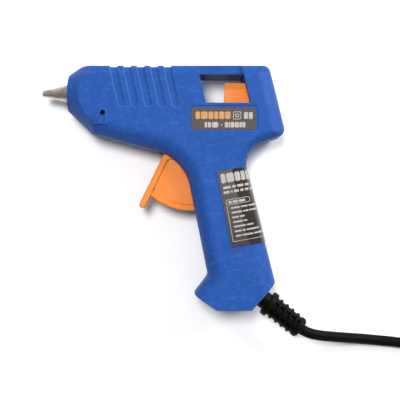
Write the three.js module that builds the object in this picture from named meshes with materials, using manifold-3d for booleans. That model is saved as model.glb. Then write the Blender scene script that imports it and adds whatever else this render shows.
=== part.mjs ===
// Small hot-melt glue gun for 7 mm sticks, lying on its right side with its cord coiled beside it.
// Millimetres. +X runs from the nozzle to the rear, +Y is the top of the gun, +Z is its left side.
// The model is laid out about the seam plane (z = 0) and lifted onto the surface at the end.
import * as THREE from 'three';
import { mergeVertices } from 'three/addons/utils/BufferGeometryUtils.js';
import Module from 'manifold-3d';

const wasm = await Module();
wasm.setup();

// ---------------------------------------------------------------- driving dimensions
const HALF = 13.3; // half the thickness of the closed housing
const WALL = 1.8; // housing wall
const SEAM = 0.05; // each shell stops this short of the seam plane
const AXIS_Y = 53.1; // height of the barrel axis, where stick, chamber and nozzle lie
const TIP_X = -78.55; // nozzle tip
const TOP_Y = 65.6; // top of the barrel
const BUTT_Y = -53.65; // bottom of the handle
const REAR_X = 40.95; // rearmost point of the housing
const ROUNDING_STEPS = 4; // rings in a quarter of the edge rounding
const CORD_D = 5.3; // mains cord diameter
const STICK_R = 3.8; // bore for a 7 mm stick

// Outline of the housing from its left side, clockwise, one row per corner: where its two edges
// meet, its fillet, and for the edge that follows it how far the rounding reaches inwards and
// the height above the seam where it starts. Nose and handle bottom run on, and are cut later.
const OUTLINE = [
  { x: -85, y: TOP_Y, fillet: 0.5, inset: 5, start: 9.5, steps: 1 }, // ahead of the nose
  { x: 34.2, y: TOP_Y, fillet: 4, inset: 8.5, start: 4.8, steps: 4 }, // top rear
  { x: 42.4, y: 32.2, fillet: 4.5, inset: 5, start: 8, steps: 4 }, // hump over the thumb
  { x: 20.65, y: 24.8, fillet: 11.5, inset: 8.5, start: 4.8, steps: 6 }, // web of the thumb
  { x: 45.6, y: -75, fillet: 0.5, inset: 8, start: 5, steps: 1 }, // below the handle
  { x: -25, y: -75, fillet: 0.5, inset: 7.5, start: 5.8, steps: 1 }, // below the toe
  { x: 3.93, y: -37.3, fillet: 4, inset: 7.5, start: 5.8, steps: 3 }, // waist above the toe
  { x: -7.75, y: 20.4, fillet: 22, inset: 8.5, start: 4.8, steps: 8 }, // over the trigger
  { x: -85, y: 41.06, fillet: 0.5, inset: 6, start: 5, steps: 1 }, // ahead of the nose
];
const BUTT = [ // region cut away below the handle, anticlockwise from the cord's side
  { x: 46.8, y: -29.45 }, { x: 25.1, y: BUTT_Y }, { x: 8.07, y: BUTT_Y },
  { x: -40, y: -21 }, { x: -40, y: -90 }, { x: 60, y: -90 },
];
const RIM = { x: -65.15, y: 52.8, tilt: 0.0383, radius: 9.15 }; // front face of the nose
const NOSE = { length: 32, growY: 0.8265, growZ: 0.68, drop: 0.139 }; // its cone, per mm of X

// Left and right edges of the window lean with the rest of the rear half.
const WINDOW = { bottom: 47.1, top: 61.2, left: 2.9, right: 24.6, lean: 0.242 };
const BAR_HALF = 10.45; // half width of the bar over the window
const GROOVES = { count: 5, first: -37.8, pitch: 6.53, bottom: 46.85, width: 3.2, lean: 0.2147, depth: 0.7 };
const STAND = { x: -47.1, y: 42.3, radius: 1.3 };
const SIDE_LABEL = { x0: -4.2, x1: 27.1, y0: 34.2, y1: 44.9, thick: 0.2 };
const LABEL_RECESS = { x0: -5.3, x1: 28.3, y0: 33.4, y1: 45.9, depth: 0.4 };

const PIVOT = { x: -5, y: 24, pin: 1.5 }; // trigger pivot
const TRIGGER = { half: 4.5, web: 3.5, arc: 29.4, rib: 3.2, lean: 14, pin: 18.55 }; // lean in degrees
const CARRIAGE = { x0: 12.3, x1: 32.8, half: 5.6, shoulder: 1.1, top: 5.15 };
const KEEL = { half: 2.7, bottom: 44 };
const LEG = { half: 2.5, y0: 39.2, y1: 44.8, x0: -3.9 };
const OUTLET = { x: 30, y: -48.2, angle: -38.5 }; // where the cord leaves the handle, degrees
const SCREWS = {
  housing_screw_front: [-40, 36], housing_screw_top: [-12, 61.9], housing_screw_rear: [31, 38.5],
  housing_screw_upper: [18.5, 16.5], housing_screw_lower: [14, -30],
};
const COIL = { x: 151, y: -37.1, lift: 0.5, pitch: 5.5, middle: 29.85, turns: 2.67 }; // per layer

// ---------------------------------------------------------------- materials
const finish = (color, roughness, metalness = 0) =>
  new THREE.MeshStandardMaterial({ color, roughness, metalness });
const BLUE = finish(0x2f5ba8, 0.5);
const ORANGE = finish(0xf58a32, 0.45);
const BLACK = finish(0x1b1b1d, 0.6);
const STEEL = finish(0x9a948a, 0.4, 1);
const ALUMINIUM = finish(0xb8bcc0, 0.45, 1);
const BRASS = finish(0xc8a45a, 0.35, 1);
const CERAMIC = finish(0xe6e2d8, 0.7);
const SILICONE = finish(0xa8452a, 0.7);
const LABEL_GREY = finish(0x5c5048, 0.35);
const LABEL_BLACK = finish(0x1d2024, 0.25);

// ---------------------------------------------------------------- solids
function solid(geometry) {
  const bare = geometry.clone();
  bare.deleteAttribute('normal');
  bare.deleteAttribute('uv');
  const merged = mergeVertices(bare, 1e-4);
  const faces = [];
  for (let i = 0; i < merged.index.count; i += 3) {
    const [a, b, c] = [0, 1, 2].map((k) => merged.index.getX(i + k));
    if (a !== b && b !== c && c !== a) faces.push(a, b, c);
  }
  return new wasm.Manifold(new wasm.Mesh({
    numProp: 3,
    vertProperties: new Float32Array(merged.attributes.position.array),
    triVerts: new Uint32Array(faces),
  }));
}

function box(x0, x1, y0, y1, z0, z1) {
  const geometry = new THREE.BoxGeometry(x1 - x0, y1 - y0, z1 - z0);
  return solid(geometry.translate((x0 + x1) / 2, (y0 + y1) / 2, (z0 + z1) / 2));
}

function rodZ(x, y, radius, z0, z1, sides = 16) {
  const geometry = new THREE.CylinderGeometry(radius, radius, z1 - z0, sides);
  return solid(geometry.rotateX(Math.PI / 2).translate(x, y, (z0 + z1) / 2));
}

function rodX(y, z, radius, x0, x1, sides = 20) {
  const geometry = new THREE.CylinderGeometry(radius, radius, x1 - x0, sides);
  return solid(geometry.rotateZ(-Math.PI / 2).translate((x0 + x1) / 2, y, z));
}

// Turned body along X: profile rows are [x, radius], from the front on the outside and back inside.
function turned(profile, y, sides = 20) {
  const points = [...profile, profile[0]].map(([x, radius]) => new THREE.Vector2(radius, x));
  const geometry = new THREE.LatheGeometry(points, sides);
  return solid(geometry.rotateZ(-Math.PI / 2).translate(0, y, 0));
}

function prism(points, z0, z1) {
  const shape = new THREE.Shape(points.map((p) => new THREE.Vector2(p.x, p.y)));
  const geometry = new THREE.ExtrudeGeometry(shape, { depth: z1 - z0, bevelEnabled: false });
  return solid(geometry.translate(0, 0, z0));
}

function sweep(points, radius, sides, steps) {
  const path = new THREE.CatmullRomCurve3(points, false, 'centripetal');
  const section = new THREE.Shape();
  for (let i = 0; i < sides; i++) {
    const angle = (i / sides) * 2 * Math.PI;
    section[i ? 'lineTo' : 'moveTo'](radius * Math.cos(angle), radius * Math.sin(angle));
  }
  const options = { steps, extrudePath: path, bevelEnabled: false };
  return solid(new THREE.ExtrudeGeometry(section, options));
}

const joined = (pieces) => pieces.reduce((whole, piece) => whole.add(piece));
const mirrored = (make) => make(1).add(make(-1));

// ---------------------------------------------------------------- housing form
// A polygon with each edge moved to the left of its direction by its own distance, which is
// outwards for a clockwise polygon and inwards for an anticlockwise one.
function moveEdges(corners, distances) {
  const count = corners.length;
  const edges = corners.map((corner, i) => {
    const next = corners[(i + 1) % count];
    const along = new THREE.Vector2(next.x - corner.x, next.y - corner.y).normalize();
    const outward = new THREE.Vector2(-along.y, along.x).multiplyScalar(distances[i]);
    return { along, point: new THREE.Vector2(corner.x, corner.y).add(outward) };
  });
  return edges.map((edge, i) => {
    const last = edges[(i + count - 1) % count];
    const gap = edge.point.clone().sub(last.point);
    const reach = gap.cross(edge.along) / last.along.cross(edge.along);
    const at = last.point.clone().addScaledVector(last.along, reach);
    return { at, before: last.along, after: edge.along };
  });
}

// One ring of the rounded form: angle runs from 0 at the side wall to a right angle on the flat.
function ring(offset, angle) {
  const insets = OUTLINE.map((edge) =>
    Math.max(edge.inset + offset, 0.05) * (1 - Math.cos(angle)) - offset);
  const heights = OUTLINE.map((edge) =>
    edge.start + (HALF + offset - edge.start) * Math.sin(angle));
  const points = [];
  moveEdges(OUTLINE, insets.map((inset) => -inset)).forEach((corner, i) => {
    const last = (i + OUTLINE.length - 1) % OUTLINE.length;
    const turn = Math.atan2(corner.before.cross(corner.after), corner.before.dot(corner.after));
    const side = Math.sign(turn);
    const shift = side * (insets[i] + insets[last]) / 2;
    const radius = Math.max(OUTLINE[i].fillet + shift, 0.2);
    const start = corner.at.clone().addScaledVector(corner.before, -radius * Math.tan(Math.abs(turn) / 2));
    const toCentre = new THREE.Vector2(-corner.before.y, corner.before.x).multiplyScalar(side * radius);
    const centre = start.clone().add(toCentre);
    for (let step = 0; step <= OUTLINE[i].steps; step++) {
      const share = step / OUTLINE[i].steps;
      const point = start.clone().rotateAround(centre, turn * share);
      const height = THREE.MathUtils.lerp(heights[last], heights[i], share);
      points.push(new THREE.Vector3(point.x, point.y, height));
    }
  });
  return points;
}

// The rounded form as a stack of rings, the same above and below the seam.
function loft(offset) {
  const upper = [];
  for (let step = 0; step <= ROUNDING_STEPS; step++) {
    upper.push(ring(offset, (step / ROUNDING_STEPS) * Math.PI / 2));
  }
  const lower = upper.map((points) => points.map((p) => new THREE.Vector3(p.x, p.y, -p.z)));
  const rings = [...lower.reverse(), ...upper];
  const count = rings[0].length;
  const faces = [];
  for (let level = 0; level + 1 < rings.length; level++) {
    for (let i = 0; i < count; i++) {
      const [a, b] = [level * count + i, level * count + (i + 1) % count];
      faces.push(a, b + count, b, a, a + count, b + count);
    }
  }
  const flat = rings[0].map((p) => new THREE.Vector2(p.x, p.y));
  const top = (rings.length - 1) * count;
  for (const [a, b, c] of THREE.ShapeUtils.triangulateShape(flat, [])) {
    const side = flat[b].clone().sub(flat[a]).cross(flat[c].clone().sub(flat[a]));
    const [p, q] = side > 0 ? [b, c] : [c, b];
    faces.push(top + a, top + p, top + q, a, q, p);
  }
  const geometry = new THREE.BufferGeometry().setFromPoints(rings.flat());
  geometry.setIndex(faces);
  return solid(geometry);
}

// The cone of the nose, round at the rim and growing faster in height than in width.
function noseCone(offset) {
  const geometry = new THREE.CylinderGeometry(1, 1, 1, 32);
  const position = geometry.attributes.position;
  const rim = RIM.radius + offset * 1.27; // 1.27: wall measured square to a cone of 38 degrees
  for (let i = 0; i < position.count; i++) {
    const far = (position.getY(i) + 0.5) * (NOSE.length + 6) - 6;
    const y = RIM.y - NOSE.drop * far + position.getX(i) * (rim + NOSE.growY * far);
    position.setXYZ(i, RIM.x + far, y, position.getZ(i) * (rim + NOSE.growZ * far));
  }
  geometry.index.array.reverse(); // x and y changed places, which turned the faces inside out
  return solid(geometry);
}

function closedForm(offset) {
  const rimX = RIM.x - (offset < 0 ? offset - 0.7 : 0); // the nose's front wall is thicker
  const front = prism([
    { x: rimX + 25 * RIM.tilt, y: RIM.y + 25 }, { x: rimX - 30 * RIM.tilt, y: RIM.y - 30 },
    { x: -99, y: RIM.y - 30 }, { x: -99, y: RIM.y + 25 },
  ], -30, 30);
  const ahead = box(-99, RIM.x + NOSE.length, -5, 99, -30, 30).subtract(noseCone(offset));
  const grown = moveEdges(BUTT, BUTT.map(() => offset)).map((corner) => corner.at);
  return loft(offset).subtract(prism(grown, -30, 30)).subtract(front).subtract(ahead);
}

// A slanted four-sided region between two heights, widened by margin on both sides.
function leaning(bottom, top, margin) {
  const at = (x, y) => x - WINDOW.lean * (y - WINDOW.bottom);
  return [
    { x: at(WINDOW.left - margin, bottom), y: bottom }, { x: at(WINDOW.left - margin, top), y: top },
    { x: at(WINDOW.right + margin, top), y: top }, { x: at(WINDOW.right + margin, bottom), y: bottom },
  ];
}

function grooveOutline(index) {
  const x = GROOVES.first + index * GROOVES.pitch;
  const half = GROOVES.width / 2;
  const tilt = Math.asin(GROOVES.lean);
  const points = [];
  for (let step = 0; step <= 6; step++) {
    const angle = tilt - Math.PI * (step / 6);
    points.push({ x: x + half * Math.cos(angle), y: GROOVES.bottom + half * Math.sin(angle) });
  }
  const rise = 24;
  const up = { x: -Math.sin(tilt) * rise, y: Math.cos(tilt) * rise };
  const ends = [points[6], points[0]].map((point) => ({ x: point.x + up.x, y: point.y + up.y }));
  return [...points, ...ends];
}

// Seat for the wire stand: fills the rounding level with the flat, with two detent grooves.
function standSeat(side) {
  const flat = (points, depth, height) => (side > 0
    ? prism(points, depth, height) : prism(points, -height, -depth));
  const seat = flat([
    { x: STAND.x - 1.6, y: STAND.y + 1.7 }, { x: STAND.x + 1.6, y: STAND.y + 1.7 },
    { x: STAND.x + 2.3, y: 36.7 }, { x: STAND.x - 4.8, y: 36.7 },
  ], 7, HALF);
  const detent = (x0, x1) => flat([
    { x: STAND.x - 0.7, y: STAND.y }, { x: STAND.x + 0.7, y: STAND.y }, { x: x1, y: 35 }, { x: x0, y: 35 },
  ], HALF - 1, HALF + 1);
  return seat.subtract(detent(STAND.x - 4, STAND.x - 2)).subtract(detent(STAND.x + 0.2, STAND.x + 1.4));
}

function outletRod(radius, from, to, sides = 16) {
  const geometry = new THREE.CylinderGeometry(radius, radius, to - from, sides);
  geometry.translate(0, (from + to) / 2, 0).rotateZ(-Math.PI / 2);
  return solid(geometry.rotateZ(THREE.MathUtils.degToRad(OUTLET.angle)).translate(OUTLET.x, OUTLET.y, 0));
}

const screwBoss = ([x, y]) => rodZ(x, y, 2.5, -12, 12).add(rodZ(x, y, 4.1, -12.4, -9.2));
const screwHole = ([x, y]) => rodZ(x, y, 1.6, -12, 8, 12).add(rodZ(x, y, 2.9, -15, -HALF + 2.6));

function housing() {
  const skinDepth = closedForm(-GROOVES.depth);
  const grooves = joined([...Array(GROOVES.count).keys()].map((i) => prism(grooveOutline(i), -30, 30)));
  const outer = closedForm(0).subtract(grooves.subtract(skinDepth));
  const walls = prism(leaning(WINDOW.bottom - WALL, 70, 1.6), -30, 30);
  const cavity = closedForm(-WALL).subtract(walls);
  const recess = leaning(WINDOW.top - 1, 70, 0);
  const window = prism(leaning(WINDOW.bottom, WINDOW.top, 0), -30, 30);
  const barRelief = mirrored((s) => (s > 0 ? prism(recess, BAR_HALF, 30) : prism(recess, -30, -BAR_HALF)));
  const { x0, x1, y0, y1, depth } = LABEL_RECESS;
  const label = box(x0, x1, y0, y1, HALF - depth, 30);
  const slot = rodZ(PIVOT.x, PIVOT.y, TRIGGER.arc + 0.9, -4.95, 4.95, 32)
    .intersect(box(-20.6, 4, -10, 26, -6, 6));
  const carriageWay = box(20, 34, AXIS_Y - 6.05, AXIS_Y + 6.05, -6.05, 6.05);
  const keelWay = box(1.5, 30, 43, WINDOW.bottom + 0.5, -3.1, 3.1);
  const ribs = joined([-57.2, -27.5].map((x) => box(x - 0.8, x + 0.8, 43, 66, -HALF, HALF)
    .intersect(closedForm(-WALL + 0.2)).subtract(rodX(AXIS_Y, 0, 6.95, x - 2, x + 2))
    .subtract(box(x - 2, x + 2, 40, 47.5, -5, 5)))); // the leads pass under the chamber
  const shell = joined([
    outer.subtract(cavity), ribs, standSeat(1), standSeat(-1),
    joined(Object.values(SCREWS).map(screwBoss)).intersect(closedForm(-WALL / 2)),
    mirrored((s) => rodZ(PIVOT.x, PIVOT.y, 3.4, Math.min(5.1 * s, 12 * s), Math.max(5.1 * s, 12 * s))),
  ]);
  return [
    window, barRelief, label, slot, carriageWay, keelWay,
    rodX(AXIS_Y, 0, 4.25, -8, 4), // stick passes the front wall of the window
    rodX(AXIS_Y, 0, 4.3, 32, 45), // stick inlet
    rodX(AXIS_Y, 0, 4.65, -70, -60), // nozzle
    outletRod(4.75, -6, 4), // strain relief neck
    rodZ(STAND.x, STAND.y, STAND.radius, -30, 30, 12),
    rodZ(PIVOT.x, PIVOT.y, PIVOT.pin + 0.35, -9.4, 9.4),
    ...Object.values(SCREWS).map(screwHole),
  ].reduce((rest, cut) => rest.subtract(cut), shell);
}

function cordClampPosts() {
  return mirrored((s) => {
    const [x, y] = clampPost(s);
    return rodZ(x, y, 2.2, -12.4, 2.9).subtract(rodZ(x, y, 1.15, -8, 4, 10));
  });
}

// The cord clamp lies across the cord just inside the handle.
function clampPost(side) {
  const angle = THREE.MathUtils.degToRad(OUTLET.angle);
  const along = new THREE.Vector2(Math.cos(angle), Math.sin(angle));
  const centre = new THREE.Vector2(OUTLET.x, OUTLET.y).addScaledVector(along, -10.5);
  const across = new THREE.Vector2(-along.y, along.x).multiplyScalar(5.4 * side);
  return centre.add(across).toArray();
}

// ---------------------------------------------------------------- heating and feed
const nozzle = () => turned([
  [TIP_X, 1.58], [TIP_X + 5, 2.35], [TIP_X + 9.2, 3.6], [TIP_X + 12.6, 4.25], [-62.9, 4.25],
  [-62.9, 3.3], [-56.2, 3.3], [-56.2, 1.9], [TIP_X + 3, 1.9], [TIP_X + 2, 0.9], [TIP_X, 0.9],
], AXIS_Y);

const nozzleBush = () => turned([[-62.3, 7], [-60.1, 7], [-60.1, 4.65], [-62.3, 4.65]], AXIS_Y);

function meltChamber() {
  const barrel = turned([
    [-59.7, 6.6], [-24, 6.6], [-24, 5], [-18.6, 5], [-18.6, STICK_R], [-53, STICK_R], [-55.8, 2],
    [-55.9, 3.65], [-59.7, 3.65],
  ], AXIS_Y, 24);
  const pocket = box(-54, -32, 40.6, 47.5, -5.6, 5.6).subtract(box(-52.6, -31, 41.6, 46, -4.4, 4.4));
  const bore = rodX(AXIS_Y, 0, STICK_R, -53, -20, 24);
  return barrel.add(pocket.subtract(bore).subtract(rodX(AXIS_Y, 0, 6.5, -60, -20, 24)));
}

const feedSleeve = () => turned([
  [-23.6, 6.6], [-17.4, 6.6], [-16.6, 5.5], [-5.2, 5.5], [-5.2, STICK_R + 0.2], [-17.9, STICK_R + 0.2],
  [-18.3, 5.35], [-23.6, 5.35],
], AXIS_Y);

// Octagon above, square below, with a keel and a leg that reaches forward to the trigger.
function feedCarriage() {
  const { x0, x1, half, shoulder, top } = CARRIAGE;
  const body = prism([
    { x: -half, y: -half }, { x: half, y: -half }, { x: half, y: shoulder }, { x: 1.6, y: top },
    { x: -1.6, y: top }, { x: -half, y: shoulder },
  ], x0, x1).rotate([90, 0, 90]).translate([0, AXIS_Y, 0]);
  const keel = box(x0 + 1, 31.5, KEEL.bottom, AXIS_Y - half + 0.5, -KEEL.half, KEEL.half);
  const leg = joined([
    box(13.3, 18, LEG.y0, KEEL.bottom + 1, -LEG.half, LEG.half),
    box(LEG.x0, 15, LEG.y0, LEG.y1, -LEG.half, LEG.half),
  ]);
  const jawSlot = box(20.6, 31.4, KEEL.bottom - 1, AXIS_Y - 3, -1.75, 1.75);
  const pin = feedPinPlace();
  return [
    rodX(AXIS_Y, 0, STICK_R + 0.2, x0 - 1, x1 + 1), jawSlot,
    rodZ(pin.x, pin.y, 1.8, -4, 4), rodZ(JAW.x, JAW.y, 1.25, -4, 4, 12),
  ].reduce((rest, cut) => rest.subtract(cut), joined([body, keel, leg]));
}

const JAW = { x: 29.3, y: 45.8 };

// Toothed wedge hinged in the keel; it tips up into the stick channel when the trigger is pulled.
const gripJaw = () => prism([
  { x: 31.1, y: 44.6 }, { x: 31.1, y: 46.6 }, { x: 29.5, y: 47.6 }, { x: 26, y: 48.2 },
  { x: 25.2, y: 47.5 }, { x: 24.4, y: 48.4 }, { x: 23.6, y: 47.7 }, { x: 22.8, y: 48.6 },
  { x: 22, y: 47.6 }, { x: 22, y: 45.6 }, { x: 27, y: 44.6 },
], -1.35, 1.35).subtract(rodZ(JAW.x, JAW.y, 1.25, -3, 3, 12));

function feedPinPlace() {
  const lean = THREE.MathUtils.degToRad(TRIGGER.lean);
  return { x: PIVOT.x + TRIGGER.pin * Math.sin(lean), y: PIVOT.y + TRIGGER.pin * Math.cos(lean) };
}

// Wire of the return spring, between a post of the housing and the leg of the carriage.
function returnSpring() {
  const { from, to, radius, turns, perTurn } = { from: -17.6, to: -4.6, radius: 1.9, turns: 5, perTurn: 9 };
  const points = [];
  for (let step = 0; step <= turns * perTurn; step++) {
    const angle = (step / perTurn) * 2 * Math.PI;
    const x = from + ((to - from) * step) / (turns * perTurn);
    points.push(new THREE.Vector3(x, 42 + radius * Math.cos(angle), radius * Math.sin(angle)));
  }
  return sweep(points, 0.3, 5, turns * perTurn);
}

// ---------------------------------------------------------------- trigger
function polar(radius, degreesFromDown) {
  const angle = THREE.MathUtils.degToRad(degreesFromDown);
  return { x: PIVOT.x + radius * Math.sin(angle), y: PIVOT.y - radius * Math.cos(angle) };
}

function arcBand(inner, outer, from, to) {
  const steps = 12;
  const at = (i) => from + ((to - from) * i) / steps;
  const far = [...Array(steps + 1).keys()].map((i) => polar(outer, at(i)));
  const near = [...Array(steps + 1).keys()].map((i) => polar(inner, at(steps - i)));
  return [...far, ...near];
}

function bar(a, b, width, half) {
  const along = new THREE.Vector2(b.x - a.x, b.y - a.y).normalize().multiplyScalar(width / 2);
  const [n, p] = [{ x: -along.y, y: along.x }, [a, b]];
  const block = prism([
    { x: p[0].x + n.x, y: p[0].y + n.y }, { x: p[0].x - n.x, y: p[0].y - n.y },
    { x: p[1].x - n.x, y: p[1].y - n.y }, { x: p[1].x + n.x, y: p[1].y + n.y },
  ], -half, half);
  return joined([block, ...p.map((q) => rodZ(q.x, q.y, width / 2, -half, half))]);
}

function trigger() {
  const { half, arc, rib, lean } = TRIGGER;
  const top = { x: -16.9, y: 21.2 };
  const tip = { x: -28.5, y: -2.4 };
  const web = prism([PIVOT, top, ...arcBand(0, arc - 1, -41, 17).slice(0, 13)], -TRIGGER.web, TRIGGER.web);
  const cheeks = mirrored((s) => {
    const plate = bar(polar(2, 180 - lean), polar(17.2, 180 - lean), 7.4, 0.8);
    return plate.translate([0, 0, s * (half - 0.8)]);
  });
  const pinSlot = bar(polar(16.4, 180 - lean), polar(26, 180 - lean), 3.8, 6);
  const body = joined([
    bar(top, tip, rib, half), bar(top, PIVOT, rib, half), web,
    prism(arcBand(arc - rib, arc, -43, 17), -half, half),
    bar(PIVOT, polar(arc - rib / 2, 15.6), 2.6, half), rodZ(PIVOT.x, PIVOT.y, 4.2, -half, half), cheeks,
  ]);
  return body.subtract(pinSlot).subtract(rodZ(PIVOT.x, PIVOT.y, PIVOT.pin + 0.3, -6, 6));
}

// ---------------------------------------------------------------- fasteners
const housingScrew = ([x, y]) => rodZ(x, y, 1.3, -HALF + 2, 7.2, 10)
  .add(rodZ(x, y, 2.5, -HALF + 0.9, -HALF + 2.5, 12));
const clampScrew = ([x, y]) => rodZ(x, y, 0.85, -7, 6, 8).add(rodZ(x, y, 1.9, 5.15, 6.4, 12));

function cordClamp() {
  const [a, b] = [clampPost(1), clampPost(-1)].map(([x, y]) => ({ x, y }));
  const strap = bar(a, b, 5, 0.9).translate([0, 0, 4.05]);
  return strap.subtract(rodZ(a.x, a.y, 1.15, 0, 8, 10)).subtract(rodZ(b.x, b.y, 1.15, 0, 8, 10));
}

// ---------------------------------------------------------------- cord
// Turned body along the outlet direction: rows are [distance from the wall, radius].
function strainRelief() {
  const rows = [
    [-3.7, 5.4], [-2.4, 5.4], [-2.4, 4.4], [0, 4.4], [0.3, 4.5], [4.7, 4.5], [4.8, 6.5], [7.4, 6.5],
    [7.5, 3.7],
  ];
  for (let i = 0; i < 4; i++) {
    const s = 9.6 + i * 3.5;
    rows.push([s, 3.7], [s, 5.8 - 0.06 * i], [s + 1.2, 5.8 - 0.06 * i], [s + 1.2, 3.7]);
  }
  rows.push([22.9, 3.7], [23, 5.2], [25.2, 5.3], [25.9, 4.6], [25.9, 2.95], [-3.7, 2.95]);
  const points = [...rows, rows[0]].map(([s, radius]) => new THREE.Vector2(radius, s));
  const geometry = new THREE.LatheGeometry(points, 16);
  geometry.rotateZ(-Math.PI / 2).rotateZ(THREE.MathUtils.degToRad(OUTLET.angle));
  return solid(geometry.translate(OUTLET.x, OUTLET.y, 0));
}

const FLOOR = -HALF;
const ON_FLOOR = FLOOR + CORD_D / 2 + 0.02;
const outletAt = (s) => {
  const angle = THREE.MathUtils.degToRad(OUTLET.angle);
  return [OUTLET.x + s * Math.cos(angle), OUTLET.y + s * Math.sin(angle), 0];
};
// From the clamp through the strain relief, down onto the surface and along it to the coil.
const CORD_ROUTE = [
  outletAt(-16), outletAt(-8), outletAt(0), outletAt(9), outletAt(18), outletAt(25.5),
  [54.2, -66.4, -0.3], [59.6, -67.8, -1.2], [66.2, -68.8, -3.2], [73.4, -69.8, -5.9],
  [80.8, -70.7, -8.5], [88.4, -71.6, -10.15], [97, -72.5, ON_FLOOR], [107, -73.6, ON_FLOOR],
  [118, -74.3, ON_FLOOR], [128.5, -74.55, ON_FLOOR],
];
const TAIL_ROUTE = [
  [173.35, 4.1, -6.2], [173.2, 9, -6.5], [173.2, 13.5, -6.4], [173.2, 17.9, -6.3],
];
const vectors = (rows) => rows.map((row) => new THREE.Vector3(...row));
const COIL_REACH = (COIL.turns * COIL.pitch) / 2 + CORD_D / 2;

function coil() {
  const [inner, outer] = [COIL.middle - COIL_REACH - 0.1, COIL.middle + COIL_REACH + 0.1];
  const [low, high] = [FLOOR + COIL.lift, FLOOR + COIL.lift + 2 * CORD_D + 0.3];
  const outline = [[inner, low], [outer, low], [outer, high], [inner, high], [inner, low]];
  const geometry = new THREE.LatheGeometry(outline.map(([r, z]) => new THREE.Vector2(r, z)), 32);
  return solid(geometry.rotateX(Math.PI / 2).translate(COIL.x, COIL.y, 0));
}

// Flat strap round the bundle of turns, on the side away from the gun.
function coilTie() {
  const [inner, outer] = [COIL.middle - COIL_REACH - 0.1, COIL.middle + COIL_REACH + 0.1];
  const high = FLOOR + COIL.lift + 2 * CORD_D + 0.3;
  const strap = box(inner - 1, outer + 1, -2, 2, FLOOR, high + 0.7)
    .subtract(box(inner - 0.5, outer + 0.5, -3, 3, FLOOR + 0.35, high + 0.3));
  return strap.rotate([0, 0, 150]).translate([COIL.x, COIL.y, 0]);
}

const PLUG = { x: 173.2, y: 18, z: FLOOR + 7, length: 36, half: 17.6, thick: 6.95, pinGap: 9.3 };

function plugBody() {
  const { x, y, z, length, half, thick } = PLUG;
  const outline = [
    { x: x - 5.5, y: y + 3 }, { x: x + 5.5, y: y + 3 }, { x: x + half - 3, y: y + 14 },
    { x: x + half, y: y + 19 },
    { x: x + half, y: y + 28 }, { x: x + half - 5, y: y + length }, { x: x - half + 5, y: y + length },
    { x: x - half, y: y + 28 }, { x: x - half, y: y + 19 }, { x: x - half + 3, y: y + 14 },
  ];
  const neck = new THREE.CylinderGeometry(4.6, 4.6, 6, 16);
  const collar = solid(neck.translate(x, y + 3.3, z));
  const bores = [x - PLUG.pinGap, x + PLUG.pinGap]
    .map((px) => pinRod(px, 2.3, y + length - 9, y + length + 1));
  return prism(outline, z - thick, z + thick).add(collar).subtract(joined(bores));
}

function pinRod(x, radius, y0, y1) {
  const geometry = new THREE.CylinderGeometry(radius, radius, y1 - y0, 12);
  return solid(geometry.translate(x, (y0 + y1) / 2, PLUG.z));
}

const PIN_ROOT = PLUG.y + PLUG.length - 8.6;
const plugPin = (side) => pinRod(PLUG.x + side * PLUG.pinGap, 2, PIN_ROOT, PIN_ROOT + 27.6);

// One lead from the clamped cord up the handle, past the pivot and forward to its heater plate.
function leadWire(side, endY) {
  const z = 8.2 * side;
  return sweep(vectors([
    [17, -37.6, 1.3 * side], [18.9, -33.6, 4 * side], [19.6, -26, z], [18, -8, z], [13.4, 6, z],
    [10.5, 18, z], [6.5, 29, z], [-4, 34.5, z], [-16, 37, z], [-25, 40, 6 * side], [-28.6, endY, 1.6 * side],
  ]), 0.85, 6, 30);
}

// ---------------------------------------------------------------- assembly
const gun = new THREE.Group();
gun.position.set(-(TIP_X + REAR_X) / 2, -(TOP_Y + BUTT_Y) / 2, HALF);

function place(name, shape, material) {
  const { vertProperties, triVerts } = shape.getMesh();
  const geometry = new THREE.BufferGeometry();
  geometry.setAttribute('position', new THREE.BufferAttribute(vertProperties, 3));
  geometry.setIndex(new THREE.BufferAttribute(triVerts, 1));
  geometry.computeVertexNormals();
  const mesh = new THREE.Mesh(geometry, material);
  mesh.name = name;
  gun.add(mesh);
}

const whole = housing();
const labelBand = prism([
  { x: 8.1, y: 13.5 }, { x: 15.4, y: 15.2 }, { x: 27, y: 16.6 }, { x: 38, y: -19.6 }, { x: 15.4, y: -23 },
], -8, 30); // it ends short of the right side, where a screw is

place('left_housing', whole.intersect(box(-99, 99, -99, 99, SEAM, 30)), BLUE);
place('right_housing', whole.intersect(box(-99, 99, -99, 99, -30, -SEAM)).add(cordClampPosts()), BLUE);
place('nozzle', nozzle(), STEEL);
place('nozzle_bush', nozzleBush(), SILICONE);
place('melt_chamber', meltChamber(), ALUMINIUM);
place('ptc_heater', box(-50, -35, 42.7, 44.9, -3.6, 3.6), CERAMIC);
place('heater_plate_upper', box(-51.5, -30.4, 45.2, 45.7, -3.8, 3.8), STEEL);
place('heater_plate_lower', box(-51.5, -30.4, 41.9, 42.4, -3.8, 3.8), STEEL);
place('feed_sleeve', feedSleeve(), SILICONE);
place('sleeve_clamp', turned([[-22.4, 7.5], [-20.2, 7.5], [-20.2, 6.9], [-22.4, 6.9]], AXIS_Y), STEEL);
place('trigger', trigger(), ORANGE);
place('trigger_pivot_pin', rodZ(PIVOT.x, PIVOT.y, PIVOT.pin, -9.1, 9.1), STEEL);
place('feed_carriage', feedCarriage(), ORANGE);
place('feed_pin', rodZ(feedPinPlace().x, feedPinPlace().y, 1.5, -4.4, 4.4), STEEL);
place('grip_jaw', gripJaw(), STEEL);
place('jaw_pin', rodZ(JAW.x, JAW.y, 0.95, -2.65, 2.65, 12), STEEL);
place('return_spring', returnSpring(), STEEL);
place('cord_clamp', cordClamp(), STEEL);
place('cord_clamp_screw_upper', clampScrew(clampPost(1)), STEEL);
place('cord_clamp_screw_lower', clampScrew(clampPost(-1)), STEEL);
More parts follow.
